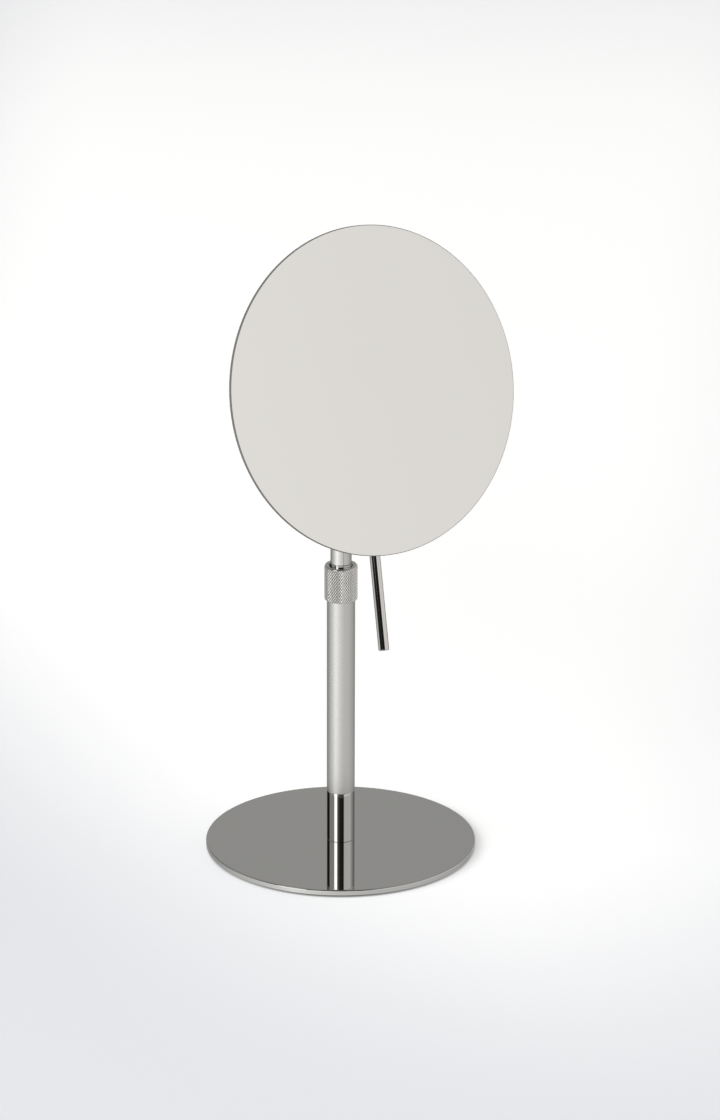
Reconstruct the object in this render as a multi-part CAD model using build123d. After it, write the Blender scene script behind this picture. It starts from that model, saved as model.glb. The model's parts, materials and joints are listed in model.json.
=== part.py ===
from build123d import *
import os
from math import cos, radians, sin, sqrt

# Extendable table mirror for shaving: a round frameless mirror on a ball joint, carried by a
# telescopic pole on a heavy round plate. Millimetres, +Z up, the mirror looks towards -Y.
# The origin is the middle of the underside that rests on the table.

# Base plate and its pad
base_diameter = 154.0
base_thickness = 3.5
base_edge_chamfer = 0.5
pad_thickness = 0.8
pad_inset = 2.5

# Countersunk screw that holds the pole to the base
base_screw_diameter = 5.0
base_screw_head_diameter = 9.6
base_screw_reach = 14.0
base_screw_key = 3.0
base_screw_key_depth = 1.6
base_screw_hole_play = 0.25

# Pole: polished foot stub and satin outer tube
pole_diameter = 16.0
pole_wall = 1.0
stub_height = 29.6
stub_spigot_length = 12.0
stub_foot_chamfer = 0.25
stub_hole_spare = 2.0
outer_tube_length = 127.1

# Collet in the top of the outer tube
collet_spigot_length = 12.0
collet_flange_height = 1.0
collet_flange_inset = 0.1
collet_thread_diameter = 14.8
collet_thread_length = 5.0
collet_cone_length = 2.2
collet_nose_diameter = 13.2
collet_nose_stand = 1.2
collet_nose_chamfer = 0.2
slit_count = 3
slit_width = 0.8
slit_below_cone = 3.5

# Knurled clamp collar
collar_diameter = 18.9
collar_skirt_overlap = 10.85
collar_land = 1.3
collar_bevel_width = 0.3
collar_bevel_height = 0.3
collar_shoulder_width = 0.85
collar_shoulder_height = 2.5

# Telescopic inner tube and the glide bush at its foot
mast_diameter = 12.0
mast_wall = 1.0
mast_length = 162.5
mast_rise = 97.5
glide_flange_height = 3.0
glide_spigot_length = 6.0
foot_plug_length = 8.0
stop_screw_diameter = 3.0
stop_screw_head_diameter = 5.5
stop_screw_head_height = 2.0
stop_screw_key = 2.0
stop_screw_key_depth = 1.0
stop_screw_spare = 1.0

# Head of the inner tube, with the ball stud
head_spigot_length = 12.0
head_below_stud = 9.0
head_above_stud = 8.5
head_round = 3.0
head_flat_depth = 0.7
stud_thread_diameter = 5.0
stud_thread_length = 6.5
stud_shoulder_diameter = 5.4
stud_shoulder_length = 2.7
neck_diameter = 3.8
ball_diameter = 10.0
ball_stand = 12.3
lock_screw_length = 4.0
lock_screw_key = 2.5
lock_screw_key_depth = 1.5

# Ball seats, spring and ring inside the hub
seat_wall = 2.0
seat_front_wall = 1.4
seat_gap = 0.2
seat_lip_angle = 60.0
spring_sheet = 0.3
spring_height = 0.6
spring_inner_diameter = 6.0
ring_diameter = 16.5
ring_height = 1.85
ring_mouth_flare = 2.0
ring_slot_width = 1.4
ring_slot_depth = 0.9

# Hub that carries the mirror
hub_diameter = 24.0
hub_floor = 1.3
hub_rear_chamfer = 1.2
hub_spigot_diameter = 14.0
hub_nut_diameter = 22.0
hub_nut_height = 2.4
hub_nut_slot_width = 2.0
hub_nut_slot_depth = 1.5
hub_nut_slot_count = 4
hub_washer_diameter = 24.0
hub_washer_height = 0.8

# Back plate, glue and mirror
plate_diameter = 172.0
plate_wall = 1.2
plate_rim_width = 18.0
plate_depth = 4.0
plate_step_run = 7.0
plate_edge_chamfer = 0.3
glue_thickness = 0.8
glue_inset = 3.0
glue_width = 12.0
mirror_diameter = 182.4
glass_thickness = 2.0
glass_arris = 0.25
mirror_tilt = 16.4
mirror_roll = 3.7

# Lever that hangs from the hub
lever_diameter = 6.0
lever_reach = 144.7
lever_end_chamfer = 0.4
lever_seat_depth = 0.6
lever_stud_diameter = 4.0
lever_stud_in_hub = 3.4
lever_stud_in_rod = 8.0
lever_hole_spare = 0.3

# Clearances: between pieces fixed together, pieces that turn or slide, and flat faces
fixed_fit = 0.02
thread_fit = 0.05
running_fit = 0.05
face_gap = 0.1

# Heights up the pole
plate_bottom = pad_thickness
base_top = plate_bottom + base_thickness
stub_top = base_top + stub_height
outer_tube_top = stub_top + outer_tube_length
flange_top = outer_tube_top + collet_flange_height
thread_top = flange_top + collet_thread_length
cone_top = thread_top + collet_cone_length
collar_top = cone_top + collar_land
collar_bottom = outer_tube_top - collar_skirt_overlap
nose_top = collar_top + collet_nose_stand
mast_top = nose_top + mast_rise
mast_bottom = mast_top - mast_length
stud_height = mast_top + head_below_stud

# Radii
pole_radius = pole_diameter / 2
pole_bore = pole_radius - pole_wall
mast_radius = mast_diameter / 2
mast_bore = mast_radius - mast_wall
ball_radius = ball_diameter / 2
neck_radius = neck_diameter / 2
collet_bore = mast_radius + running_fit
ball_pocket = ball_radius + running_fit
seat_radius = ball_radius + seat_wall
hub_radius = hub_diameter / 2
hub_bore = seat_radius + running_fit
hub_spigot_radius = hub_spigot_diameter / 2
ring_radius = ring_diameter / 2
plate_radius = plate_diameter / 2
mirror_radius = mirror_diameter / 2
lever_radius = lever_diameter / 2

# Distances along the mirror's axis, from the ball centre, positive to the front
seat_front = ball_radius + seat_front_wall
hub_floor_face = seat_front + spring_height + 2 * running_fit
plate_rear = hub_floor_face + hub_floor
plate_middle_front = plate_rear + plate_wall
rim_rear = plate_rear + plate_depth
rim_front = rim_rear + plate_wall
glass_rear = rim_front + glue_thickness
glass_front = glass_rear + glass_thickness
nut_rear = plate_middle_front + hub_washer_height
nut_front = nut_rear + hub_nut_height
seat_lip = -ball_pocket * cos(radians(seat_lip_angle))
ring_front = seat_lip - running_fit
hub_rear = ring_front - ring_height

# Frames: the stud points to the front, the mirror's frame is tilted and rolled about the ball
ball_offset = mast_radius + ball_stand
stud_frame = Pos(0, 0, stud_height) * Rot(X=90)
mirror_frame = Pos(0, -ball_offset, stud_height) * Rot(X=90 - mirror_tilt) * Rot(Z=-mirror_roll)
lever_frame = mirror_frame * Rot(X=90)


def turned(*profile):
    """Solid of revolution about Z from a closed outline of (radius, height) points."""
    outline = Plane.XZ * make_face(Polyline(*profile, close=True))
    return revolve(outline, Axis.Z)


def sleeve(outer, inner, bottom, top):
    """Plain ring or tube between two heights."""
    return turned((inner, bottom), (outer, bottom), (outer, top), (inner, top))


def rod(radius, bottom, top):
    """Plain round bar between two heights."""
    return turned((0, bottom), (radius, bottom), (radius, top), (0, top))


def hex_socket(across_flats, bottom, depth):
    """Hexagonal key recess that rises from a bottom face."""
    corner_radius = across_flats / sqrt(3)
    return Pos(0, 0, bottom) * extrude(RegularPolygon(corner_radius, 6), depth)


def make_base_plate():
    radius = base_diameter / 2
    hole = base_screw_diameter / 2 + base_screw_hole_play
    sink = base_screw_head_diameter / 2 + base_screw_hole_play
    edge = base_edge_chamfer
    return turned(
        (sink, plate_bottom),
        (radius - edge, plate_bottom),
        (radius, plate_bottom + edge),
        (radius, base_top - edge),
        (radius - edge, base_top),
        (hole, base_top),
        (hole, plate_bottom + sink - hole),
    )


def make_base_pad():
    return rod(base_diameter / 2 - pad_inset, 0, pad_thickness)


def make_base_screw():
    shank = base_screw_diameter / 2
    head = base_screw_head_diameter / 2
    body = turned(
        (0, plate_bottom),
        (head, plate_bottom),
        (shank, plate_bottom + head - shank),
        (shank, base_top + base_screw_reach),
        (0, base_top + base_screw_reach),
    )
    return body - hex_socket(base_screw_key, plate_bottom, base_screw_key_depth)


def make_foot_stub():
    bore = base_screw_diameter / 2 + thread_fit
    hole_top = base_top + base_screw_reach + stub_hole_spare
    spigot = pole_bore - fixed_fit
    return turned(
        (bore, base_top),
        (pole_radius - stub_foot_chamfer, base_top),
        (pole_radius, base_top + stub_foot_chamfer),
        (pole_radius, stub_top),
        (spigot, stub_top),
        (spigot, stub_top + stub_spigot_length),
        (0, stub_top + stub_spigot_length),
        (0, hole_top),
        (bore, hole_top),
    )


def make_outer_tube():
    return sleeve(pole_radius, pole_bore, stub_top, outer_tube_top)


def make_collet():
    spigot = pole_bore - fixed_fit
    flange = pole_radius - collet_flange_inset
    thread = collet_thread_diameter / 2
    nose = collet_nose_diameter / 2
    body = turned(
        (collet_bore, outer_tube_top - collet_spigot_length),
        (spigot, outer_tube_top - collet_spigot_length),
        (spigot, outer_tube_top),
        (flange, outer_tube_top),
        (flange, flange_top),
        (thread, flange_top),
        (thread, thread_top),
        (nose, cone_top),
        (nose, nose_top - collet_nose_chamfer),
        (nose - collet_nose_chamfer, nose_top),
        (collet_bore, nose_top),
    )
    slit_bottom = thread_top - slit_below_cone
    slit_length = nose_top - slit_bottom
    slit_middle = slit_bottom + slit_length / 2
    slit = Pos(0, pole_radius / 2, slit_middle) * Box(slit_width, pole_radius, slit_length)
    for index in range(slit_count):
        body -= Rot(Z=360 / slit_count * index) * slit
    return body


def make_clamp_collar():
    skirt = pole_radius + running_fit
    thread = collet_thread_diameter / 2 + running_fit
    nose = collet_nose_diameter / 2 + running_fit
    outside = collar_diameter / 2
    ledge = flange_top + face_gap
    shoulder = outside - collar_shoulder_width
    below_shoulder = collar_top - collar_shoulder_height
    outline = Polyline(
        (shoulder, collar_top),
        (nose, collar_top),
        (nose, cone_top),
        (thread, thread_top),
        (thread, ledge),
        (skirt, ledge),
        (skirt, collar_bottom),
        (outside - collar_bevel_width, collar_bottom),
        (outside, collar_bottom + collar_bevel_height),
        (outside, below_shoulder),
    )
    round_edge = EllipticalCenterArc(
        (shoulder, below_shoulder),
        collar_shoulder_width,
        collar_shoulder_height,
        start_angle=0,
        arc_size=90,
    )
    return revolve(Plane.XZ * make_face(outline + round_edge), Axis.Z)


def make_glide_bush():
    flange_face = mast_bottom - face_gap
    spigot = mast_bore - running_fit
    hole = stop_screw_diameter / 2 + running_fit
    outside = pole_bore - running_fit
    return turned(
        (hole, flange_face - glide_flange_height),
        (outside, flange_face - glide_flange_height),
        (outside, flange_face),
        (spigot, flange_face),
        (spigot, flange_face + glide_spigot_length),
        (hole, flange_face + glide_spigot_length),
    )


def make_inner_tube():
    return sleeve(mast_radius, mast_bore, mast_bottom, mast_top)


def foot_plug_bottom():
    return mast_bottom + glide_spigot_length


def make_foot_plug():
    bore = stop_screw_diameter / 2 + thread_fit
    bottom = foot_plug_bottom()
    return sleeve(mast_bore - fixed_fit, bore, bottom, bottom + foot_plug_length)


def make_stop_screw():
    head_top = mast_bottom - 2 * face_gap - glide_flange_height
    head_bottom = head_top - stop_screw_head_height
    shank = stop_screw_diameter / 2
    head = stop_screw_head_diameter / 2
    tip = foot_plug_bottom() + foot_plug_length - stop_screw_spare
    body = turned(
        (0, head_bottom),
        (head, head_bottom),
        (head, head_top),
        (shank, head_top),
        (shank, tip),
        (0, tip),
    )
    return body - hex_socket(stop_screw_key, head_bottom, stop_screw_key_depth)


def make_tube_head():
    spigot = mast_bore - fixed_fit
    top = stud_height + head_above_stud
    body = turned(
        (0, mast_top - head_spigot_length),
        (spigot, mast_top - head_spigot_length),
        (spigot, mast_top),
        (mast_radius, mast_top),
        (mast_radius, top),
        (0, top),
    )
    top_edge = body.edges().filter_by(GeomType.CIRCLE).sort_by(Axis.Z)[-1]
    body = fillet(top_edge, head_round)
    bore = stud_thread_diameter / 2 + thread_fit
    hole = stud_frame * rod(bore, -mast_diameter, mast_diameter)
    seat = mast_radius - head_flat_depth
    spot_face = stud_frame * rod(stud_shoulder_diameter / 2 + running_fit, seat, mast_diameter)
    return body - hole - spot_face


def make_ball_stud():
    thread = stud_thread_diameter / 2
    shoulder = stud_shoulder_diameter / 2
    seat = mast_radius - head_flat_depth
    shoulder_end = seat + stud_shoulder_length
    shank = turned(
        (0, seat - stud_thread_length),
        (thread, seat - stud_thread_length),
        (thread, seat),
        (shoulder, seat),
        (shoulder, shoulder_end),
        (neck_radius, shoulder_end),
        (neck_radius, ball_offset),
        (0, ball_offset),
    )
    return stud_frame * (shank + Pos(0, 0, ball_offset) * Sphere(ball_radius))


def make_stud_lock_screw():
    stud_end = mast_radius - head_flat_depth - stud_thread_length
    rear = stud_end - lock_screw_length
    body = rod(stud_thread_diameter / 2, rear, stud_end)
    return stud_frame * (body - hex_socket(lock_screw_key, rear, lock_screw_key_depth))


def make_ball_seat_front():
    cup = rod(seat_radius, seat_gap / 2, seat_front)
    return mirror_frame * (cup - Sphere(ball_pocket))


def make_ball_seat_rear():
    cup = rod(seat_radius, seat_lip, -seat_gap / 2)
    return mirror_frame * (cup - Sphere(ball_pocket))


def make_disc_spring():
    inner = spring_inner_diameter / 2
    outer = seat_radius - running_fit
    rear = seat_front + running_fit
    front = rear + spring_height
    return mirror_frame * turned(
        (inner, rear),
        (outer, front - spring_sheet),
        (outer, front),
        (inner, rear + spring_sheet),
    )


def make_socket_ring():
    lip = ball_pocket * sin(radians(seat_lip_angle)) + running_fit
    outside = ring_radius - thread_fit
    body = turned(
        (lip, ring_front),
        (outside, ring_front),
        (outside, hub_rear),
        (lip + ring_mouth_flare, hub_rear),
    )
    slot = Box(ring_diameter + ring_slot_width, ring_slot_width, 2 * ring_slot_depth)
    return mirror_frame * (body - Pos(0, 0, hub_rear) * slot)


def make_hub_body():
    body = turned(
        (0, hub_floor_face),
        (hub_bore, hub_floor_face),
        (hub_bore, ring_front),
        (ring_radius, ring_front),
        (ring_radius, hub_rear),
        (hub_radius - hub_rear_chamfer, hub_rear),
        (hub_radius, hub_rear + hub_rear_chamfer),
        (hub_radius, plate_rear),
        (hub_spigot_radius, plate_rear),
        (hub_spigot_radius, nut_front),
        (0, nut_front),
    )
    body = mirror_frame * body
    lever_seat = hub_radius - lever_seat_depth
    spot_face = lever_frame * rod(lever_radius + running_fit, lever_seat, hub_diameter)
    hole_radius = lever_stud_diameter / 2 + thread_fit
    hole = lever_frame * rod(hole_radius, lever_seat - lever_stud_in_hub, hub_diameter)
    return body - spot_face - hole


def make_hub_washer():
    inner = hub_spigot_radius + running_fit
    return mirror_frame * sleeve(hub_washer_diameter / 2, inner, plate_middle_front, nut_rear)


def make_hub_nut():
    radius = hub_nut_diameter / 2
    body = sleeve(radius, hub_spigot_radius + thread_fit, nut_rear, nut_front)
    slot_size = (2 * hub_nut_slot_depth, hub_nut_slot_width, 2 * hub_nut_height)
    slot = Pos(radius, 0, nut_front) * Box(*slot_size)
    for index in range(hub_nut_slot_count):
        body -= Rot(Z=360 / hub_nut_slot_count * index) * slot
    return mirror_frame * body


def make_back_plate():
    hole = hub_spigot_radius + running_fit
    rim_inner = plate_radius - plate_rim_width
    middle = rim_inner - plate_step_run
    edge = plate_edge_chamfer
    return mirror_frame * turned(
        (hole, plate_rear),
        (middle, plate_rear),
        (rim_inner, rim_rear),
        (plate_radius - edge, rim_rear),
        (plate_radius, rim_rear + edge),
        (plate_radius, rim_front),
        (rim_inner, rim_front),
        (middle, plate_middle_front),
        (hole, plate_middle_front),
    )


def make_glue_ring():
    outside = plate_radius - glue_inset
    return mirror_frame * sleeve(outside, outside - glue_width, rim_front, glass_rear)


def make_mirror_glass():
    edge = glass_arris
    return mirror_frame * turned(
        (0, glass_rear),
        (mirror_radius - edge, glass_rear),
        (mirror_radius, glass_rear + edge),
        (mirror_radius, glass_front - edge),
        (mirror_radius - edge, glass_front),
        (0, glass_front),
    )


def make_lever_rod():
    seat = hub_radius - lever_seat_depth
    hole = lever_stud_diameter / 2 + thread_fit
    hole_end = seat + lever_stud_in_rod + lever_hole_spare
    return lever_frame * turned(
        (hole, seat),
        (lever_radius, seat),
        (lever_radius, lever_reach - lever_end_chamfer),
        (lever_radius - lever_end_chamfer, lever_reach),
        (0, lever_reach),
        (0, hole_end),
        (hole, hole_end),
    )


def make_lever_stud():
    seat = hub_radius - lever_seat_depth
    inner_end = seat - lever_stud_in_hub + fixed_fit
    return lever_frame * rod(lever_stud_diameter / 2, inner_end, seat + lever_stud_in_rod)


pieces = {
    "base_plate": make_base_plate(),
    "base_pad": make_base_pad(),
    "base_screw": make_base_screw(),
    "foot_stub": make_foot_stub(),
    "outer_tube": make_outer_tube(),
    "collet": make_collet(),
    "clamp_collar": make_clamp_collar(),
    "glide_bush": make_glide_bush(),
    "inner_tube": make_inner_tube(),
    "foot_plug": make_foot_plug(),
    "stop_screw": make_stop_screw(),
    "tube_head": make_tube_head(),
    "ball_stud": make_ball_stud(),
    "stud_lock_screw": make_stud_lock_screw(),
    "ball_seat_front": make_ball_seat_front(),
    "ball_seat_rear": make_ball_seat_rear(),
    "disc_spring": make_disc_spring(),
    "socket_ring": make_socket_ring(),
    "hub_body": make_hub_body(),
    "hub_washer": make_hub_washer(),
    "hub_nut": make_hub_nut(),
    "back_plate": make_back_plate(),
    "glue_ring": make_glue_ring(),
    "mirror_glass": make_mirror_glass(),
    "lever_rod": make_lever_rod(),
    "lever_stud": make_lever_stud(),
}

os.makedirs("parts", exist_ok=True)
for name, piece in pieces.items():
    export_step(piece, f"parts/{name}.step")

print("ball centre", round(-ball_offset, 3), round(stud_height, 3))
print("mirror normal", round(-cos(radians(mirror_tilt)), 6), round(sin(radians(mirror_tilt)), 6))
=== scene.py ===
import json
import math

import bpy
from mathutils import Matrix, Vector

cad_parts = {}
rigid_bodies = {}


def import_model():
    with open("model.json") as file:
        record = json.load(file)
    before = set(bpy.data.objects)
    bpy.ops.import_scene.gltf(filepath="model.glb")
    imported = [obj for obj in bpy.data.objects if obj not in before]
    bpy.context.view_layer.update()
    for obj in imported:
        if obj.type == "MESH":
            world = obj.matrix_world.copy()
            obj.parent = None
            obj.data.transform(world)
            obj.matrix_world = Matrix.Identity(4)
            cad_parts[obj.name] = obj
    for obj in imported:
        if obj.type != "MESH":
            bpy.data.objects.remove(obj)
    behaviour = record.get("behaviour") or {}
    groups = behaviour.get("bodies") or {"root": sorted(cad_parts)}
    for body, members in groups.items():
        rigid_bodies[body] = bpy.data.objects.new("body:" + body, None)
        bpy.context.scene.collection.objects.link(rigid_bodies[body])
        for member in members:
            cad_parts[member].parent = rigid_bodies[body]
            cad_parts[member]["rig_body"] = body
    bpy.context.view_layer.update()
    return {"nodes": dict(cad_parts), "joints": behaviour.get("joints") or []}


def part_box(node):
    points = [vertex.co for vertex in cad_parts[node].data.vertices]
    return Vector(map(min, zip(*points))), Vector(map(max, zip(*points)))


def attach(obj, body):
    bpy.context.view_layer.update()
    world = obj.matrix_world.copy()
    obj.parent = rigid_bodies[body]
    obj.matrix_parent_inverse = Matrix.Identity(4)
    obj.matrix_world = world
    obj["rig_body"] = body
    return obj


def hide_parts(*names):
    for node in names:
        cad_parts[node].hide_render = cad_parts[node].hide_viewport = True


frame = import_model()

# Looks of an extendable shaving mirror: a round pane on a ball joint, a telescopic pole with a
# knurled clamp collar, and a heavy polished base. Metres, +Z up, the pane looks towards -Y.

MM = 0.001

# How finely round pieces are divided, and what counts as a smooth edge or as one point
SIDES = 192
SMALL_SIDES = 96
BASE_SIDES = 320
SHELL_SIDES = 256
PANE_SIDES = 384
ROUND_STEPS = 14
SHOULDER_STEPS = 28
BALL_STEPS = 40
SMOOTH_ANGLE = math.radians(8)
MERGE = 0.002 * MM

# Edges and walls that the boxes of the nodes don't give
BASE_CHAMFER = 0.5 * MM
BASE_ROUND = 0.8 * MM
SCREW_HOLE = 2.75 * MM
SCREW_SINK = 5.05 * MM
STUB_EDGE = 0.25 * MM
TUBE_WALL = 1.0 * MM
SMALL_EDGE = 0.12 * MM
FIT = 0.05 * MM
NOSE_RADIUS = 6.6 * MM
NOSE_EDGE = 0.2 * MM
NOSE_MOUTH = 0.3 * MM
COLLET_THREAD = 7.4 * MM
COLLET_FLANGE = 1.0 * MM
COLLET_CONE = 2.2 * MM
COLLET_LAND = 1.3 * MM
COLLET_SLITS = 3
COLLET_SLIT = 0.8 * MM
COLLET_SLIT_DEPTH = 8.2 * MM
COLLAR_BEVEL = 0.3 * MM
COLLAR_SHOULDER = (0.85 * MM, 2.5 * MM)
COLLAR_SPARE = 0.02 * MM
COLLAR_MOUTH = 0.25 * MM
KNURL_TEETH = 42
KNURL_ROWS = 11
KNURL_ROW = 2.0 * MM
KNURL_DEPTH = 0.26 * MM
KNURL_SLOPE = 0.46 * MM
HEAD_ROUND = 3.0 * MM
HEAD_HOLE = 2.55 * MM
STUD_SHOULDER = (2.7 * MM, 2.7 * MM)
STUD_SEAT = 5.3 * MM
STUD_NECK = 1.9 * MM
BALL_RADIUS = 5.0 * MM
HUB_BORE = 7.05 * MM
HUB_CHAMFER = 1.2 * MM
HUB_FLOOR = 1.3 * MM
RING_MOUTH = 2.0 * MM
RING_LIP = 4.42 * MM
RING_SLOT = (1.4 * MM, 0.9 * MM)
PLATE_WALL = 1.2 * MM
PLATE_RIM = 18.0 * MM
PLATE_STEP = 7.0 * MM
PLATE_HOLE = 7.05 * MM
PLATE_EDGE = 0.3 * MM
PLATE_BEND = 3.0 * MM
TAPE_WIDTH = 12.0 * MM
GLASS_ARRIS = 0.22 * MM
GLASS_BORDER = 0.14 * MM
LEVER_CHAMFER = 0.4 * MM
LEVER_SEAT = 11.4 * MM

# How far the mirror is turned about its own axis in the photograph
MIRROR_ROLL = math.radians(3.7)

# Degrees at which the round of the collar's shoulder starts and the ball's outline ends
SHOULDER_START = 4
BALL_END = 89

# Share of a tooth's depth over which the grooves' painted shade gives way to the crests' painted
# highlight
KNURL_PAINTED_SHADE = 0.45

# The photograph's camera: its distance from the middle of the base's top, where it stands and
# where it looks
CAMERA_DISTANCE = 3.2027
CAMERA_AZIMUTH = math.radians(-32.457)
CAMERA_ELEVATION = math.radians(22.8346)
CAMERA_PITCH = math.radians(19.996)
CAMERA_YAW = math.radians(0.2066)
CAMERA_ROLL = math.radians(0.1488)
CAMERA_LENS = 179.67
CAMERA_SENSOR = 36
CAMERA_SIGHT = 100

joint_of = {joint["name"]: joint for joint in frame["joints"]}


def span(node, axis="z"):
    """Lowest and highest coordinate of a node along an axis of the frame."""
    low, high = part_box(node)
    return getattr(low, axis), getattr(high, axis)


def half_width(node):
    """Half of a node's size along X, which is the radius of a piece turned about the pole."""
    low, high = span(node, "x")
    return (high - low) / 2


ball = Vector(joint_of["mirror_turn"]["pos_m"])
mirror_axis = Vector(joint_of["mirror_turn"]["axis"]).normalized()
tilt = math.atan2(mirror_axis.z, -mirror_axis.y)
stud_place = Matrix.Translation((0, 0, ball.z)) @ Matrix.Rotation(math.radians(90), 4, "X")
mirror_place = (
    Matrix.Translation(ball)
    @ Matrix.Rotation(math.radians(90) - tilt, 4, "X")
    @ Matrix.Rotation(-MIRROR_ROLL, 4, "Z")
)
lever_place = mirror_place @ Matrix.Rotation(math.radians(90), 4, "X")


def reach(node, place):
    """A node's lowest and highest point along a place's own axis, and its radius about it."""
    back = place.inverted()
    points = [back @ vertex.co for vertex in frame["nodes"][node].data.vertices]
    heights = [point.z for point in points]
    return min(heights), max(heights), max(point.xy.length for point in points)


# Shader nodes


class Wire:
    """A shader socket that takes part in sums: each operator adds a Math node."""

    def __init__(self, sheet, socket):
        self.sheet = sheet
        self.socket = socket

    def output(self, name):
        """Another output of the same node."""
        return Wire(self.sheet, self.socket.node.outputs[name])

    def math(self, operation, first, second):
        """Adds a Math node on two values."""
        return self.sheet.node("Math", {"operation": operation}, {0: first, 1: second})

    def __add__(self, other):
        return self.math("ADD", self, other)

    def __radd__(self, other):
        return self.math("ADD", other, self)

    def __sub__(self, other):
        return self.math("SUBTRACT", self, other)

    def __rsub__(self, other):
        return self.math("SUBTRACT", other, self)

    def __mul__(self, other):
        return self.math("MULTIPLY", self, other)

    def __rmul__(self, other):
        return self.math("MULTIPLY", other, self)


class Sheet:
    """The node tree of one finish or of the studio's world."""

    def __init__(self, tree):
        self.tree = tree

    def plug(self, socket, value):
        """Links a wire to a socket, or sets the socket to a plain value."""
        if isinstance(value, Wire):
            self.tree.links.new(value.socket, socket)
        else:
            socket.default_value = value

    def node(self, kind, settings=None, inputs=None, output=0):
        """Adds a node: its settings first, then the values or links of its sockets."""
        node = self.tree.nodes.new("ShaderNode" + kind)
        for name, value in (settings or {}).items():
            if name == "stops":
                set_stops(node.color_ramp, value)
            else:
                setattr(node, name, value)
        for name, value in (inputs or {}).items():
            self.plug(node.inputs[name], value)
        return Wire(self, node.outputs[output])


def set_stops(ramp, stops):
    """Gives a colour ramp its (position, colour) stops."""
    while len(ramp.elements) < len(stops):
        ramp.elements.new(1.0)
    for element, (position, colour) in zip(ramp.elements, stops):
        element.position = position
        element.color = (*colour, 1.0)


def smooth_step(sheet, value, low, high):
    """Goes softly from 0 to 1 while a value goes from low to high."""
    sockets = {"Value": value, "From Min": low, "From Max": high}
    return sheet.node("MapRange", {"interpolation_type": "SMOOTHSTEP"}, sockets)


class Finish(Sheet):
    """One material with its shader, in the object's own coordinates."""

    def __init__(self, name, **numbers):
        self.material = bpy.data.materials.new(name)
        self.material.use_nodes = True
        super().__init__(self.material.node_tree)
        self.shader = self.tree.nodes["Principled BSDF"]
        self.set(**numbers)

    def set(self, **values):
        """Sets the shader's sockets; a name's underscores stand for spaces."""
        for name, value in values.items():
            self.plug(self.shader.inputs[name.replace("_", " ")], value)

    def place(self, scale=(1, 1, 1)):
        """The piece's own coordinates, times a scale along each axis."""
        where = self.node("TexCoord", output="Object")
        return self.node("Mapping", None, {"Vector": where, "Scale": scale})

    def noise(self, size, stretch=(1, 1, 1), detail=3.0):
        """Noise from 0 to 1 whose features are about a size across."""
        where = self.place(stretch)
        return self.node("TexNoise", None, {"Vector": where, "Scale": 1 / size, "Detail": detail})

    def blend(self, share, first, second):
        """Mixes two colours."""
        sockets = {"Factor": share, 6: (*first, 1), 7: (*second, 1)}
        return self.node("Mix", {"data_type": "RGBA"}, sockets, output=2)

    def bump(self, height, depth, strength=1.0):
        """Roughens the surface by a pattern of heights from 0 to a depth."""
        sockets = {"Height": height, "Distance": depth, "Strength": strength}
        self.set(Normal=self.node("Bump", None, sockets))


def polished_chrome():
    """Bright plating: clear reflections with the faintest wipe marks."""
    finish = Finish("polished_chrome", Metallic=1.0)
    wipes = finish.noise(18 * MM, (1, 0.35, 1))
    specks = finish.noise(0.9 * MM, detail=2.0)
    finish.set(Base_Color=finish.blend(wipes, (0.665, 0.66, 0.65), (0.68, 0.675, 0.668)))
    finish.set(Roughness=0.012 + 0.02 * wipes + 0.012 * specks)
    return finish.material


def satin_chrome(name, roughness):
    """Matt plating with a faint grain along the piece."""
    finish = Finish(name, Metallic=1.0)
    grain = finish.noise(0.3 * MM, (1.0, 1.0, 0.02), detail=2.0)
    cloud = finish.noise(9 * MM)
    finish.set(Base_Color=finish.blend(grain, (0.666, 0.66, 0.645), (0.678, 0.672, 0.657)))
    finish.set(Roughness=roughness - 0.01 + 0.01 * grain + 0.01 * cloud)
    finish.bump(grain, 0.001 * MM, 0.05)
    return finish.material


def knurl_chrome():
    """Plated knurl: painted shade, with some grime, in the grooves and a painted highlight on the
    crests.
    """
    finish = Finish("knurl_chrome", Metallic=1.0)
    cloud = finish.noise(0.5 * MM)
    level = finish.place((1, 1, 0))
    radius = finish.node("VectorMath", {"operation": "LENGTH"}, {0: level}, output="Value")
    root = half_width("clamp_collar") - KNURL_DEPTH
    height = smooth_step(finish, radius, root, root + KNURL_PAINTED_SHADE * KNURL_DEPTH)
    # Colour by distance from the axis: painted shade in the grooves, and on the crests a painted
    # highlight brighter than the plating
    finish.set(Base_Color=finish.blend(height, (0.22, 0.218, 0.212), (0.98, 0.974, 0.955)))
    finish.set(Roughness=0.277 + 0.01 * cloud)
    return finish.material


def silvering():
    """The pane's face: silver behind clear glass."""
    finish = Finish("silvering", Metallic=1.0)
    haze = finish.noise(25 * MM)
    finish.set(Base_Color=finish.blend(haze, (0.918, 0.925, 0.918), (0.925, 0.931, 0.924)))
    finish.set(Roughness=0.002 + 0.004 * haze)
    return finish.material


def glass_edge():
    """Ground edge of the pane, dark where the glass is seen along its depth."""
    finish = Finish("glass_edge", IOR=1.52, Coat_Weight=0.3, Coat_Roughness=0.1)
    grind = finish.noise(0.4 * MM)
    finish.set(Base_Color=finish.blend(grind, (0.12, 0.118, 0.108), (0.16, 0.158, 0.146)))
    finish.set(Roughness=0.3 + 0.15 * grind)
    finish.bump(grind, 0.01 * MM, 0.3)
    return finish.material


def back_paint():
    """Protective paint on the pane's back."""
    finish = Finish("back_paint")
    peel = finish.noise(1.2 * MM)
    finish.set(Base_Color=finish.blend(peel, (0.3, 0.29, 0.28), (0.34, 0.33, 0.315)))
    finish.set(Roughness=0.5 + 0.1 * peel)
    finish.bump(peel, 0.02 * MM, 0.4)
    return finish.material


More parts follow.
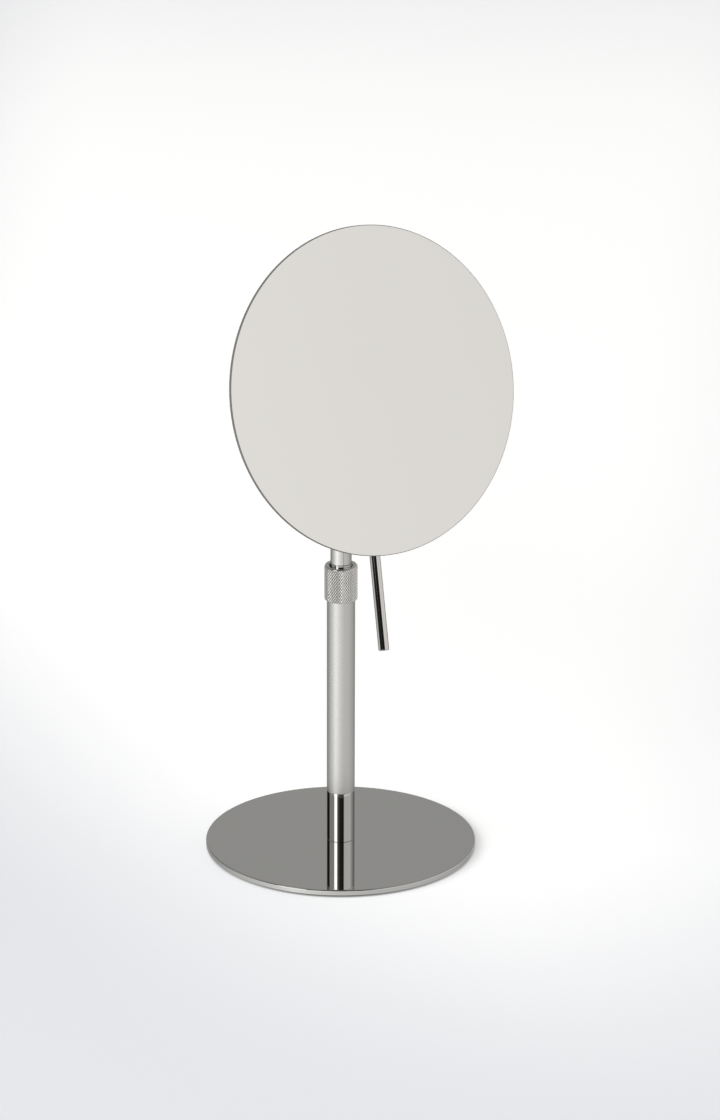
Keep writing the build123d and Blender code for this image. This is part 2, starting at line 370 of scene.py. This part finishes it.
def pad_foam():
    """Dense black foam with fine cells."""
    finish = Finish("pad_foam", Sheen_Weight=0.15)
    cells = finish.node("TexVoronoi", None, {"Vector": finish.place(), "Scale": 1 / (0.7 * MM)})
    finish.set(Base_Color=finish.blend(cells, (0.02, 0.02, 0.021), (0.05, 0.05, 0.052)))
    finish.set(Roughness=0.85 + 0.1 * cells)
    finish.bump(cells, 0.08 * MM, 0.5)
    return finish.material


def acetal():
    """Milky bearing plastic with faint moulding clouds."""
    finish = Finish("acetal", Subsurface_Weight=0.05)
    cloud = finish.noise(3 * MM)
    finish.set(Base_Color=finish.blend(cloud, (0.78, 0.78, 0.75), (0.84, 0.84, 0.82)))
    finish.set(Roughness=0.42 + 0.1 * cloud)
    finish.bump(cloud, 0.01 * MM, 0.3)
    return finish.material


def zinc_steel():
    """Zinc-plated steel with the uneven tint of its passivation."""
    finish = Finish("zinc_steel", Metallic=1.0)
    tint = finish.noise(1.6 * MM)
    finish.set(Base_Color=finish.blend(tint, (0.55, 0.57, 0.62), (0.66, 0.64, 0.58)))
    finish.set(Roughness=0.28 + 0.16 * tint)
    finish.bump(finish.noise(0.15 * MM), 0.004 * MM, 0.3)
    return finish.material


def plain_brass():
    """Turned brass with the tool's rings across its axis."""
    finish = Finish("plain_brass", Metallic=1.0)
    rings = finish.noise(0.2 * MM, (0.03, 0.03, 1.0), detail=2.0)
    finish.set(Base_Color=finish.blend(rings, (0.72, 0.55, 0.26), (0.8, 0.64, 0.34)))
    finish.set(Roughness=0.22 + 0.14 * rings)
    finish.bump(rings, 0.006 * MM, 0.4)
    return finish.material


def foam_tape():
    """Grey bonding tape between shell and pane."""
    finish = Finish("foam_tape")
    cells = finish.noise(0.35 * MM)
    finish.set(Base_Color=finish.blend(cells, (0.07, 0.07, 0.072), (0.12, 0.12, 0.122)))
    finish.set(Roughness=0.75 + 0.15 * cells)
    finish.bump(cells, 0.03 * MM, 0.5)
    return finish.material


CHROME = polished_chrome()
SATIN = satin_chrome("satin_chrome", 0.27)
FINE_SATIN = satin_chrome("fine_satin_chrome", 0.19)
KNURL = knurl_chrome()
SILVER = silvering()
GLASS_EDGE = glass_edge()
BACK_PAINT = back_paint()
FOAM = pad_foam()
ACETAL = acetal()
ZINC = zinc_steel()
BRASS = plain_brass()
TAPE = foam_tape()

# Modelling by hand: each turned piece is a ring that is drawn out along its outline


def start_ring(name, radius, height, sides=SIDES, filled=True):
    """Adds a circle at a height and opens it in edit mode, all selected."""
    bpy.ops.object.select_all(action="DESELECT")
    fill = "NGON" if filled else "NOTHING"
    bpy.ops.mesh.primitive_circle_add(
        vertices=sides, radius=radius, fill_type=fill, location=(0, 0, height)
    )
    piece = bpy.context.object
    piece.name = name
    piece.data.name = name
    bpy.ops.object.transform_apply(location=True, rotation=False, scale=False)
    bpy.ops.object.mode_set(mode="EDIT")
    bpy.ops.mesh.select_all(action="SELECT")
    return piece


def draw_out(outline):
    """Extrudes the selected ring from each (radius, height) of an outline to the next."""
    for (radius, height), (next_radius, next_height) in zip(outline, outline[1:]):
        bpy.ops.mesh.extrude_region_move(
            TRANSFORM_OT_translate={"value": (0, 0, next_height - height)}
        )
        grow = next_radius / radius
        if grow != 1:
            bpy.ops.transform.resize(value=(grow, grow, 1), center_override=(0, 0, next_height))


def close_mesh():
    """Welds what meets, turns the faces outwards and leaves edit mode."""
    bpy.ops.mesh.select_all(action="SELECT")
    bpy.ops.mesh.remove_doubles(threshold=MERGE)
    bpy.ops.mesh.normals_make_consistent(inside=False)
    bpy.ops.object.mode_set(mode="OBJECT")


def turn_solid(name, outline, sides=SIDES):
    """Solid piece: the first and the last ring of the outline are closed by a face."""
    piece = start_ring(name, *outline[0], sides=sides)
    draw_out(outline)
    close_mesh()
    return piece


def turn_hollow(name, outline, sides=SIDES):
    """Piece with a bore: the outline goes round its wall and back to the first ring."""
    piece = start_ring(name, *outline[0], sides=sides, filled=False)
    draw_out([*outline, outline[0]])
    close_mesh()
    return piece


def soften(piece, width, segments=2, above=30):
    """Rounds the edges that turn by more than an angle, with an applied Bevel."""
    bevel = piece.modifiers.new("soft_edges", "BEVEL")
    bevel.width = width
    bevel.segments = segments
    bevel.limit_method = "ANGLE"
    bevel.angle_limit = math.radians(above)
    bpy.ops.object.modifier_apply(modifier=bevel.name)


def pick(piece):
    """Makes a piece the only one that is selected, and the active one."""
    bpy.ops.object.select_all(action="DESELECT")
    piece.select_set(True)
    bpy.context.view_layer.objects.active = piece


def combine(piece, tool, operation):
    """Applies a Boolean with a tool to a piece and removes the tool."""
    pick(piece)
    boolean = piece.modifiers.new("tool", "BOOLEAN")
    boolean.operation = operation
    boolean.solver = "EXACT"
    boolean.object = tool
    bpy.ops.object.modifier_apply(modifier=boolean.name)
    bpy.data.objects.remove(tool)


def cut(piece, cutter):
    """Takes a cutter's shape out of a piece."""
    combine(piece, cutter, "DIFFERENCE")


def keep_within(piece, limit):
    """Keeps what a piece and its limit have in common."""
    combine(piece, limit, "INTERSECT")


def put(piece, place):
    """Moves a piece to its place and leaves that place in its mesh."""
    piece.matrix_world = place
    pick(piece)
    bpy.ops.object.transform_apply(location=True, rotation=True, scale=True)


def drill(piece, radius, start, end, place):
    """Makes a round hole about a place's axis, from one height on it to another."""
    bit = turn_solid("drill", [(radius, start), (radius, end)], sides=SMALL_SIDES)
    put(bit, place)
    cut(piece, bit)


def saw(piece, place):
    """Makes a slot with a unit cube that is stretched and put in place."""
    bpy.ops.object.select_all(action="DESELECT")
    bpy.ops.mesh.primitive_cube_add(size=1)
    blade = bpy.context.object
    put(blade, place)
    cut(piece, blade)


def hand_over(piece, node, *finishes):
    """Gives a piece its finishes, its shading and a node's place in the object."""
    for finish in finishes:
        piece.data.materials.append(finish)
    pick(piece)
    bpy.ops.object.shade_smooth_by_angle(angle=SMOOTH_ANGLE)
    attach(piece, frame["nodes"][node]["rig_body"])
    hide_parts(node)


def arc(centre, radius, start, end, steps):
    """Points of a round stretch of an outline, from one angle to another, in degrees."""
    points = []
    for step in range(steps + 1):
        angle = math.radians(start + (end - start) * step / steps)
        points.append((centre[0] + radius * math.cos(angle), centre[1] + radius * math.sin(angle)))
    return points


# Pieces of the stand


def make_base():
    """Turned plate with a rounded upper edge and a hole for the screw."""
    radius = half_width("base_plate")
    bottom, top = span("base_plate")
    base = turn_hollow(
        "base_disc",
        [
            (SCREW_SINK, bottom),
            (radius - BASE_CHAMFER, bottom),
            (radius, bottom + BASE_CHAMFER),
            (radius, top - BASE_ROUND - SMALL_EDGE),
            *arc((radius - BASE_ROUND, top - BASE_ROUND), BASE_ROUND, 0, 90, ROUND_STEPS),
            (radius - BASE_ROUND - SMALL_EDGE, top),
            (SCREW_HOLE, top),
            (SCREW_HOLE, bottom + SCREW_SINK - SCREW_HOLE),
        ],
        sides=BASE_SIDES,
    )
    soften(base, SMALL_EDGE)
    hand_over(base, "base_plate", CHROME)


def make_pad():
    """Thin foam disc under the plate."""
    radius = half_width("base_pad")
    bottom, top = span("base_pad")
    pad = turn_solid("non_slip_pad", [(radius, bottom), (radius, top)])
    soften(pad, SMALL_EDGE)
    hand_over(pad, "base_pad", FOAM)


def make_foot():
    """Foot of the pole, with a spigot that goes up into the tube."""
    radius = half_width("foot_stub")
    bottom, spigot_top = span("foot_stub")
    top = span("outer_tube")[0]
    spigot = radius - TUBE_WALL - FIT
    foot = turn_solid(
        "foot_post",
        [
            (radius - STUB_EDGE, bottom),
            (radius, bottom + STUB_EDGE),
            (radius, top - SMALL_EDGE),
            (radius - SMALL_EDGE, top),
            (spigot, top),
            (spigot, spigot_top),
        ],
    )
    hand_over(foot, "foot_stub", CHROME)


def make_tube(name, node, finish):
    """One of the two tubes of the pole."""
    radius = half_width(node)
    bottom, top = span(node)
    bore = radius - TUBE_WALL
    tube = turn_hollow(name, [(bore, bottom), (radius, bottom), (radius, top), (bore, top)])
    soften(tube, SMALL_EDGE)
    hand_over(tube, node, finish)


def make_collet():
    """Bush in the top of the pole, whose slit nose grips the inner tube."""
    bottom, top = span("collet")
    seat = span("outer_tube")[1]
    flange = half_width("collet")
    bore = half_width("inner_tube") + FIT
    spigot = half_width("outer_tube") - TUBE_WALL - FIT
    cone_top = span("clamp_collar")[1] - COLLET_LAND
    collet = turn_hollow(
        "clamp_collet",
        [
            (bore, bottom),
            (spigot, bottom),
            (spigot, seat),
            (flange, seat),
            (flange, seat + COLLET_FLANGE),
            (COLLET_THREAD, seat + COLLET_FLANGE),
            (COLLET_THREAD, cone_top - COLLET_CONE),
            (NOSE_RADIUS, cone_top),
            (NOSE_RADIUS, top - NOSE_EDGE),
            (NOSE_RADIUS - NOSE_EDGE, top),
            (bore + NOSE_MOUTH, top),
            (bore, top - NOSE_MOUTH),
        ],
    )
    slit = Matrix.Diagonal((COLLET_SLIT, flange, 2 * COLLET_SLIT_DEPTH, 1))
    for index in range(COLLET_SLITS):
        turn = Matrix.Rotation(math.tau * index / COLLET_SLITS, 4, "Z")
        saw(collet, turn @ Matrix.Translation((0, flange / 2, top)) @ slit)
    hand_over(collet, "collet", CHROME)


# Knurled collar


def select_edges(piece, test):
    """In edit mode, selects the edges that pass a test of the edge and its two heights."""
    bpy.ops.mesh.select_mode(type="EDGE")
    bpy.ops.mesh.select_all(action="DESELECT")
    bpy.ops.object.mode_set(mode="OBJECT")
    mesh = piece.data
    for edge in mesh.edges:
        low, high = sorted(mesh.vertices[end].co.z for end in edge.vertices)
        edge.select = test(edge, low, high)
    bpy.ops.object.mode_set(mode="EDIT")


def make_collar():
    """Knurled nut: a bar with teeth, cut down to the nut's turned outline."""
    radius = half_width("clamp_collar")
    bottom, top = span("clamp_collar")
    shoulder_width, shoulder_height = COLLAR_SHOULDER
    bore = NOSE_RADIUS + COLLAR_MOUTH
    thread = COLLET_THREAD + FIT
    skirt = half_width("outer_tube") + FIT
    cone_top = top - COLLET_LAND
    ledge = span("outer_tube")[1] + COLLET_FLANGE + 2 * FIT
    quarter = arc((0, 0), 1.0, SHOULDER_START, 90, SHOULDER_STEPS)
    rounding = [
        (radius + shoulder_width * (x - 1), top + shoulder_height * (y - 1)) for x, y in quarter
    ]
    over_teeth = radius + COLLAR_SPARE
    turned = turn_hollow(
        "collar_outline",
        [
            (radius - COLLAR_BEVEL, bottom),
            (over_teeth, bottom + COLLAR_BEVEL + COLLAR_SPARE),
            (over_teeth, rounding[0][1] - COLLAR_SPARE),
            *rounding,
            (bore, top),
            (bore, cone_top),
            (thread, cone_top - COLLET_CONE),
            (thread, ledge),
            (skirt, ledge),
            (skirt, bottom),
        ],
    )
    collar = make_knurl(radius, (bottom + top) / 2)
    keep_within(collar, turned)
    for face in collar.data.polygons:
        below_teeth = face.center.xy.length < radius - KNURL_DEPTH
        face.material_index = 1 if below_teeth else 0
    hand_over(collar, "clamp_collar", KNURL, CHROME)


def make_knurl(radius, middle):
    """Bar with a diamond knurl: a poked grid loses its first edges, and each diamond is raised."""
    root = radius - KNURL_DEPTH
    bottom = middle - KNURL_ROWS * KNURL_ROW / 2
    top = middle + KNURL_ROWS * KNURL_ROW / 2

    def at_bottom(edge, low, high):
        return high < bottom + MERGE

    def at_top(edge, low, high):
        return low > top - MERGE

    def in_grid(edge, low, high):
        at_rim = at_bottom(edge, low, high) or at_top(edge, low, high)
        return edge.use_seam and not at_rim

    wall = [(root, bottom + KNURL_ROW * index) for index in range(KNURL_ROWS + 1)]
    bar = start_ring("knurled_collar", *wall[0], sides=KNURL_TEETH, filled=False)
    draw_out(wall)
    bpy.ops.mesh.select_all(action="SELECT")
    bpy.ops.mesh.normals_make_consistent(inside=False)
    bpy.ops.mesh.mark_seam()
    bpy.ops.mesh.poke()
    select_edges(bar, in_grid)
    bpy.ops.mesh.dissolve_edges(use_verts=False)
    bpy.ops.mesh.select_mode(type="FACE")
    bpy.ops.mesh.select_all(action="SELECT")
    bpy.ops.mesh.mark_seam(clear=True)
    bpy.ops.mesh.select_face_by_sides(number=4, type="EQUAL", extend=False)
    bpy.ops.mesh.inset(thickness=KNURL_SLOPE, depth=KNURL_DEPTH, use_individual=True)
    for at_rim in (at_bottom, at_top):
        select_edges(bar, at_rim)
        bpy.ops.mesh.edge_face_add()
    close_mesh()
    return bar


# Pieces of the mast


def make_head():
    """Rounded head that closes the inner tube, drilled across for the ball's pin."""
    radius = half_width("inner_tube")
    bottom, top = span("tube_head")
    seat = span("inner_tube")[1]
    spigot = radius - TUBE_WALL - FIT
    head = turn_solid(
        "mast_head",
        [
            (spigot, bottom),
            (spigot, seat),
            (radius - SMALL_EDGE, seat),
            (radius, seat + SMALL_EDGE),
            *arc((radius - HEAD_ROUND, top - HEAD_ROUND), HEAD_ROUND, 0, 90, ROUND_STEPS),
        ],
    )
    drill(head, HEAD_HOLE, -2 * radius, 2 * radius, stud_place)
    drill(head, STUD_SHOULDER[0] + FIT, STUD_SEAT, 2 * radius, stud_place)
    hand_over(head, "tube_head", FINE_SATIN)


def make_stud():
    """Pin with the ball on its end."""
    bottom, top = reach("ball_stud", stud_place)[:2]
    centre = top - BALL_RADIUS
    shoulder, length = STUD_SHOULDER
    meet = math.degrees(math.asin(STUD_NECK / BALL_RADIUS))
    stud = turn_solid(
        "ball_pin",
        [
            (HEAD_HOLE - FIT, bottom),
            (HEAD_HOLE - FIT, STUD_SEAT),
            (shoulder, STUD_SEAT),
            (shoulder, STUD_SEAT + length - STUB_EDGE),
            (shoulder - STUB_EDGE, STUD_SEAT + length),
            (STUD_NECK, STUD_SEAT + length),
            *arc((0, centre), BALL_RADIUS, meet - 90, BALL_END, BALL_STEPS),
        ],
        sides=SMALL_SIDES,
    )
    put(stud, stud_place)
    hand_over(stud, "ball_stud", CHROME)


# Pieces of the mirror


def make_joint_ring():
    """Ring that closes the hub behind the ball, slotted for a driver."""
    rear, front, radius = reach("socket_ring", mirror_place)
    ring = turn_hollow(
        "joint_ring",
        [(RING_LIP, front), (radius, front), (radius, rear), (RING_LIP + RING_MOUTH, rear)],
    )
    soften(ring, SMALL_EDGE)
    slot_width, slot_depth = RING_SLOT
    slot = Matrix.Diagonal((3 * radius, slot_width, 2 * slot_depth, 1))
    saw(ring, Matrix.Translation((0, 0, rear)) @ slot)
    put(ring, mirror_place)
    hand_over(ring, "socket_ring", CHROME)


def make_hub():
    """Housing of the ball joint, with a seat for the lever in its side."""
    rear, front, radius = reach("hub_body", mirror_place)
    ring_front, ring_radius = reach("socket_ring", mirror_place)[1:]
    thread = ring_radius + FIT
    plate_rear = reach("back_plate", mirror_place)[0]
    spigot = PLATE_HOLE - FIT
    hub = turn_solid(
        "joint_hub",
        [
            (HUB_BORE, plate_rear - HUB_FLOOR),
            (HUB_BORE, ring_front),
            (thread, ring_front),
            (thread, rear),
            (radius - HUB_CHAMFER, rear),
            (radius, rear + HUB_CHAMFER),
            (radius, plate_rear),
            (spigot, plate_rear),
            (spigot, front),
        ],
    )
    soften(hub, SMALL_EDGE)
    put(hub, mirror_place)
    lever_radius = reach("lever_rod", lever_place)[2]
    drill(hub, lever_radius + FIT, LEVER_SEAT, 2 * radius, lever_place)
    hand_over(hub, "hub_body", CHROME)


def make_shell():
    """Pressed dish behind the pane: a raised middle and a flat rim."""
    rear, front, radius = reach("back_plate", mirror_place)
    rim_inner = radius - PLATE_RIM
    middle = rim_inner - PLATE_STEP
    rim_rear = front - PLATE_WALL
    shell = turn_hollow(
        "mirror_shell",
        [
            (PLATE_HOLE, rear),
            (middle, rear),
            (rim_inner, rim_rear),
            (radius, rim_rear),
            (radius, front),
            (rim_inner, front),
            (middle, rear + PLATE_WALL),
            (PLATE_HOLE, rear + PLATE_WALL),
        ],
        sides=SHELL_SIDES,
    )
    soften(shell, PLATE_EDGE, above=60)
    soften(shell, PLATE_BEND, segments=6, above=20)
    put(shell, mirror_place)
    hand_over(shell, "back_plate", SATIN)


def make_tape():
    """Ring of tape between the shell's rim and the pane."""
    rear, front, radius = reach("glue_ring", mirror_place)
    inner = radius - TAPE_WIDTH
    tape = turn_hollow(
        "bonding_tape",
        [(inner, rear), (radius, rear), (radius, front), (inner, front)],
    )
    put(tape, mirror_place)
    hand_over(tape, "glue_ring", TAPE)


def make_pane():
    """Round mirror: silver in front, a ground edge, paint on the back."""
    rear, front, radius = reach("mirror_glass", mirror_place)
    pane = turn_solid(
        "mirror_pane",
        [
            (radius - GLASS_ARRIS, rear),
            (radius, rear + GLASS_ARRIS),
            (radius, front - GLASS_ARRIS),
            (radius - GLASS_ARRIS, front),
            (radius - GLASS_ARRIS - GLASS_BORDER, front),
        ],
        sides=PANE_SIDES,
    )
    for face in pane.data.polygons:
        face.material_index = 1
        if face.center.xy.length < radius / 2:
            face.material_index = 0 if face.normal.z > 0 else 2
    put(pane, mirror_place)
    hand_over(pane, "mirror_glass", SILVER, GLASS_EDGE, BACK_PAINT)


def make_lever():
    """Handle rod that hangs from the hub."""
    start, end, radius = reach("lever_rod", lever_place)
    lever = turn_solid(
        "handle_rod",
        [(radius, start), (radius, end - LEVER_CHAMFER), (radius - LEVER_CHAMFER, end)],
    )
    soften(lever, SMALL_EDGE)
    put(lever, lever_place)
    hand_over(lever, "lever_rod", CHROME)


make_base()
make_pad()
make_foot()
make_tube("pole_tube", "outer_tube", SATIN)
make_collet()
make_collar()
make_tube("mast_tube", "inner_tube", FINE_SATIN)
make_head()
make_stud()
make_joint_ring()
make_hub()
make_shell()
make_tape()
make_pane()
make_lever()

# The pieces inside keep their solids and take a finish
inner_finishes = {
    "base_screw": ZINC,
    "stop_screw": ZINC,
    "stud_lock_screw": ZINC,
    "disc_spring": ZINC,
    "hub_washer": ZINC,
    "lever_stud": ZINC,
    "foot_plug": BRASS,
    "hub_nut": BRASS,
    "glide_bush": ACETAL,
    "ball_seat_front": ACETAL,
    "ball_seat_rear": ACETAL,
}
for node_name, finish in inner_finishes.items():
    for material_slot in frame["nodes"][node_name].material_slots:
        material_slot.material = finish


# Studio


def degrees_to_share(angle):
    """Place of a bearing in a ramp that goes from -180 to 180 degrees."""
    return (angle + 180) / 360


# What the plating sees, by bearing from the camera, positive to the right: (degrees, radiance)
HIGH_LIGHT = [
    (-180, 0.33), (-76, 0.26), (-69, 0.15), (-65, 0.5), (-43, 0.5), (-40, 0.012),
    (34, 0.012), (44, 0.18), (58, 0.3), (72, 0.37), (180, 0.33),
]
GALLERY_LIGHT = [
    (-180, 0.33), (-110, 0.26), (-80, 0.25), (-62, 0.08), (-35, 0.05),
    (25, 0.05), (40, 0.2), (75, 0.36), (180, 0.33),
]
UPPER_LIGHT = [
    (-180, 0.374), (-158, 0.3), (-142, 0.012), (-108, 0.012), (-99, 0.375), (-55.5, 0.375),
    (-51.5, 2.3), (-31, 2.3), (-28, 0.2), (-8, 0.03), (24, 0.012), (29, 0.74),
    (86, 0.76), (95, 0.5), (110, 0.46), (122, 0.22), (150, 0.22), (180, 0.374),
]
LEDGE_LIGHT = [
    (-180, 0.42), (-113, 0.44), (-99, 0.38), (-55.5, 0.375), (-51.5, 2.3), (-31, 2.3), (-26, 1.4),
    (10, 1.2), (26, 0.9), (46, 0.8), (70, 0.67), (80, 0.85), (115, 0.8), (180, 0.42),
]
SHELF_LIGHT = [
    (-180, 0.42), (-113, 0.44), (-99, 0.38), (-55.5, 0.375), (-51.5, 2.3), (-31, 2.3),
    (-28, 0.1), (-20, 0.012), (26, 0.012), (36, 0.9), (46, 0.88), (56, 0.845),
    (70, 0.67), (80, 0.85), (115, 0.8), (180, 0.42),
]
HORIZON_LIGHT = [
    (-180, 0.42), (-113, 0.44), (-94, 0.43), (-80, 0.34), (-70, 0.12), (-62, 0.015),
    (-26, 0.012), (-20, 1.3), (10, 1.1), (26, 0.9), (46, 0.88), (56, 0.845),
    (70, 0.67), (80, 0.85), (115, 0.8), (180, 0.42),
]
FAR_LIGHT = [
    (-180, 0.3), (-122, 0.3), (-107, 0.5), (-83, 0.84), (-63, 1.28), (-47, 1.6),
    (-36, 1.52), (-19, 1.28), (-3, 1.04), (13, 0.92), (29, 0.75), (65, 0.69),
    (85, 0.56), (110, 0.46), (128, 0.28), (180, 0.3),
]
FLOOR_LIGHT = [
    (-180, 0.46), (-152, 0.4), (-130, 0.44), (-100, 0.6), (-70, 0.715), (-50, 0.89),
    (-41, 1.0), (-30, 0.91), (-10, 0.765), (0, 0.7), (30, 0.63), (70, 0.6),
    (100, 0.54), (120, 0.49), (135, 0.425), (160, 0.475), (180, 0.46),
]
UPPER_TINT = (1.002, 1.0, 0.975)
HORIZON_TINT = (1.035, 1.0, 0.957)
FLOOR_TINT = (1.0, 1.0, 0.985)
UNDER_LIGHT = 0.13

# Layers of that light from below to above: the heights between which each one takes over, as the
# sine of the angle over the horizon, then its light and its tint
ROOM_LAYERS = [
    (-0.92, -0.85, FLOOR_LIGHT, FLOOR_TINT),
    (-0.39, -0.33, FAR_LIGHT, FLOOR_TINT),
    (-0.17, -0.11, HORIZON_LIGHT, HORIZON_TINT),
    (0.11, 0.13, SHELF_LIGHT, HORIZON_TINT),
    (0.225, 0.245, LEDGE_LIGHT, HORIZON_TINT),
    (0.275, 0.295, UPPER_LIGHT, UPPER_TINT),
    (0.41, 0.44, GALLERY_LIGHT, UPPER_TINT),
    (0.72, 0.79, HIGH_LIGHT, UPPER_TINT),
]

# Just over the plate's rim, the foot shows the walls as the plate shows them
RIM_FROM = (-0.385, -0.384)
RIM_TO = (-0.377, -0.378)

# Floor and backdrop, in metres from the pole: away from the camera, and to its right
BACKDROP = (0.93, 0.935, 0.945)
FLOOR_SIZE = 24
FLOOR_DROP = 0.2 * MM
FLOOR_DIM = (0.652, 0.662, 0.688)
FLOOR_BRIGHT = (0.9, 0.9, 0.9)
FLOOR_GLOW = 0.445
FLOOR_END = (2.6, 6.5)
LIT_FROM = (-0.42, 0.1)
LIT_TO = (3.0, 1.35)
LEFT_SLANT = 2.2
LEFT_CORNER = (-0.55, 0.12)
LEFT_SIDE = (-0.46, -0.2)
RIGHT_SLANT = -0.1
RIGHT_SIDE = (0.45, 0.1)
CONTACT_SHADE = 0.3
CONTACT_REACH = (74.2 * MM, 77.9 * MM)

# Window, in metres and watts
WINDOW_BEARING = math.radians(-42)
WINDOW_RISE = math.radians(33)
WINDOW_DISTANCE = 10
WINDOW_WIDTH = 16
WINDOW_HEIGHT = 4
WINDOW_POWER = 1130


def light_ramp(sheet, share, bearings, tint):
    """Colour ramp round the room, from one list of bearings."""
    stops = [
        (degrees_to_share(angle), [radiance * part for part in tint]) for angle, radiance in bearings
    ]
    return sheet.node("ValToRGB", {"stops": stops}, {"Fac": share})


def mix_light(sheet, share, first, second):
    """Mixes two lights or colours, each a wire or four numbers."""
    sockets = {"Factor": share, 6: first, 7: second}
    return sheet.node("Mix", {"data_type": "RGBA"}, sockets, output=2)


def make_world():
    """The room in layers of light, which the camera itself sees as a plain backdrop."""
    world = bpy.data.worlds.new("studio")
    bpy.context.scene.world = world
    world.use_nodes = True
    sheet = Sheet(world.node_tree)
    direction = sheet.node("TexCoord", output="Generated")
    to_camera = {"Vector": direction, "Rotation": (0, 0, -CAMERA_AZIMUTH)}
    turned = sheet.node("Mapping", None, to_camera)
    sideways = sheet.node("SeparateXYZ", None, {"Vector": turned})
    backwards = sideways.output("Y") * -1
    height = sideways.output("Z")
    bearing = sideways.math("ARCTAN2", sideways, backwards)
    share = bearing * (1 / math.tau) + 0.5
    room = (UNDER_LIGHT, UNDER_LIGHT, UNDER_LIGHT, 1)
    for start, end, bearings, tint in ROOM_LAYERS:
        layer = light_ramp(sheet, share, bearings, tint)
        room = mix_light(sheet, smooth_step(sheet, height, start, end), room, layer)
    walls = light_ramp(sheet, share, UPPER_LIGHT, UPPER_TINT)
    past_rim = smooth_step(sheet, height, *RIM_FROM) * smooth_step(sheet, height, *RIM_TO)
    room = mix_light(sheet, past_rim, room, walls)
    seen = sheet.node("LightPath", output="Is Camera Ray")
    shown = mix_light(sheet, seen, room, (*BACKDROP, 1))
    background = world.node_tree.nodes["Background"]
    sheet.plug(background.inputs["Color"], shown)


def make_floor():
    """Pale, glowing floor with painted light: a lit path past the mirror, dim corners, and a painted
    shadow under the base's rim.
    """
    bpy.ops.object.select_all(action="DESELECT")
    bpy.ops.mesh.primitive_plane_add(size=FLOOR_SIZE, location=(0, 0, -FLOOR_DROP))
    floor = bpy.context.object
    floor.name = "studio_floor"
    finish = Finish("studio_floor", Roughness=1.0, Specular_IOR_Level=0.0)
    finish.set(Emission_Strength=FLOOR_GLOW)
    where = finish.node("TexCoord", output="Object")
    turned = finish.node("Mapping", None, {"Vector": where, "Rotation": (0, 0, -CAMERA_AZIMUTH)})
    sideways = finish.node("SeparateXYZ", None, {"Vector": turned})
    depth = sideways.output("Y")
    # Painted light and shade in the floor's colour and glow: a lit path, and dim corners left and
    # right
    lit = smooth_step(finish, depth, *LIT_FROM) * smooth_step(finish, depth, *LIT_TO)
    left = smooth_step(finish, depth + LEFT_SLANT * sideways, *LEFT_CORNER)
    left = left * smooth_step(finish, sideways, *LEFT_SIDE)
    right = smooth_step(finish, sideways + RIGHT_SLANT * depth, *RIGHT_SIDE)
    shade = finish.blend(lit * left * right, FLOOR_DIM, FLOOR_BRIGHT)
    # Painted shadow: colour and glow darken under and just round the base's rim
    radius = finish.node("VectorMath", {"operation": "LENGTH"}, {0: where}, output="Value")
    clear = smooth_step(finish, radius, *CONTACT_REACH)
    dark = [CONTACT_SHADE * part for part in FLOOR_BRIGHT] + [1]
    shade = mix_light(finish, clear, dark, shade)
    # Far away the floor goes over into the backdrop, so that no edge shows
    far = smooth_step(finish, radius, *FLOOR_END)
    backdrop = [part / FLOOR_GLOW for part in BACKDROP] + [1]
    finish.set(Base_Color=mix_light(finish, far, shade, (0, 0, 0, 1)))
    finish.set(Emission_Color=mix_light(finish, far, shade, backdrop))
    floor.data.materials.append(finish.material)
    floor.visible_glossy = False


def make_lights():
    """A wide, low window of light from the left, which the plating doesn't show."""
    window = bpy.data.lights.new("window_light", "AREA")
    window.shape = "RECTANGLE"
    window.size = WINDOW_WIDTH
    window.size_y = WINDOW_HEIGHT
    window.energy = WINDOW_POWER
    light = bpy.data.objects.new("window_light", window)
    bpy.context.scene.collection.objects.link(light)
    bearing = Matrix.Rotation(CAMERA_AZIMUTH + WINDOW_BEARING, 4, "Z")
    rise = Matrix.Rotation(math.radians(90) - WINDOW_RISE, 4, "X")
    light.matrix_world = bearing @ rise @ Matrix.Translation((0, 0, WINDOW_DISTANCE))
    light.visible_glossy = False
    light.visible_camera = False


def make_camera():
    """The photograph's camera."""
    camera = bpy.data.cameras.new("camera")
    camera.lens = CAMERA_LENS
    camera.sensor_width = CAMERA_SENSOR
    camera.clip_end = CAMERA_SIGHT
    stand = bpy.data.objects.new("camera", camera)
    bpy.context.scene.collection.objects.link(stand)
    level = CAMERA_DISTANCE * math.cos(CAMERA_ELEVATION)
    stand.location = (
        level * math.sin(CAMERA_AZIMUTH),
        -level * math.cos(CAMERA_AZIMUTH),
        span("base_plate")[1] + CAMERA_DISTANCE * math.sin(CAMERA_ELEVATION),
    )
    heading = Matrix.Rotation(CAMERA_AZIMUTH - CAMERA_YAW, 3, "Z")
    pitch = Matrix.Rotation(math.radians(90) - CAMERA_PITCH, 3, "X")
    roll = Matrix.Rotation(CAMERA_ROLL, 3, "Z")
    stand.rotation_euler = (heading @ pitch @ roll).to_euler()
    bpy.context.scene.camera = stand


make_world()
make_floor()
make_lights()
make_camera()
bpy.context.scene.view_settings.view_transform = "Standard"
